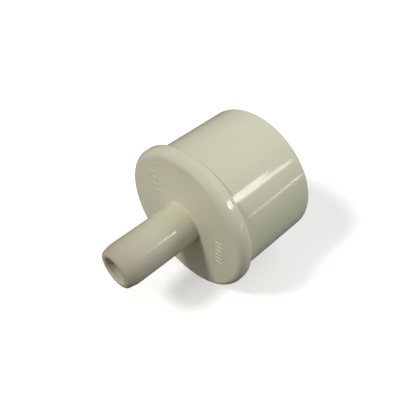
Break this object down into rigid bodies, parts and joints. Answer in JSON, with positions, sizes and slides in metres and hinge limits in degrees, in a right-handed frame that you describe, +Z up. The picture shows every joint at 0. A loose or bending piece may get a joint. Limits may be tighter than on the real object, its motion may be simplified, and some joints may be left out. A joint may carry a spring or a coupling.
{
  "type": "plug-in pneumatic exhaust muffler",
  "caption": "Small moulded exhaust silencer: smooth tapered hose spigot, rounded collar and a pull-off cylindrical barrel over felt rings, baffles, gauze and a rear grille.",
  "frame": {"origin": "on the axis, in the plane of the collar's front face, at the root of the inlet spigot", "axes": "flow axis along Y, spigot towards -Y, exhaust towards +Y, +Z up as it lies on its side; round about Y"},
  "size_m": [0.0354, 0.0433, 0.0354],
  "materials": {
    "shell_plastic": "glossy pale grey-green moulding",
    "seal_rubber": "smooth nitrile",
    "inner_plastic": "matt moulding",
    "grille_plastic": "satin moulding",
    "felt": "pressed needle felt",
    "stainless_wire": "woven wire",
    "brass_insert": "turned",
    "plated_steel": "bright zinc",
    "spring_steel": "phosphated spring steel"
  },
  "bodies": {
    "head": {"inlet_cap": "shell_plastic", "cap_o_ring": "seal_rubber", "diffuser_tube": "inner_plastic", "diffuser_sock": "stainless_wire", "diffuser_end_plug": "inner_plastic", "screw_insert": "brass_insert", "front_felt_ring": "felt", "absorber_ring_1": "felt", "absorber_ring_2": "felt", "absorber_ring_3": "felt", "inner_baffle": "inner_plastic", "plain_washer": "plated_steel", "lock_washer": "plated_steel", "stack_screw": "plated_steel"},
    "barrel": {"sleeve": "shell_plastic", "outer_baffle": "inner_plastic", "felt_disc": "felt", "gauze_disc": "stainless_wire", "exhaust_grille": "grille_plastic", "retaining_ring": "spring_steel"}
  },
  "joints": [
    {"name": "barrel_pull_off", "type": "slide", "parent": "head", "child": "barrel", "axis": [0, 1, 0], "range_m": [0, 0.03]}
  ]
}
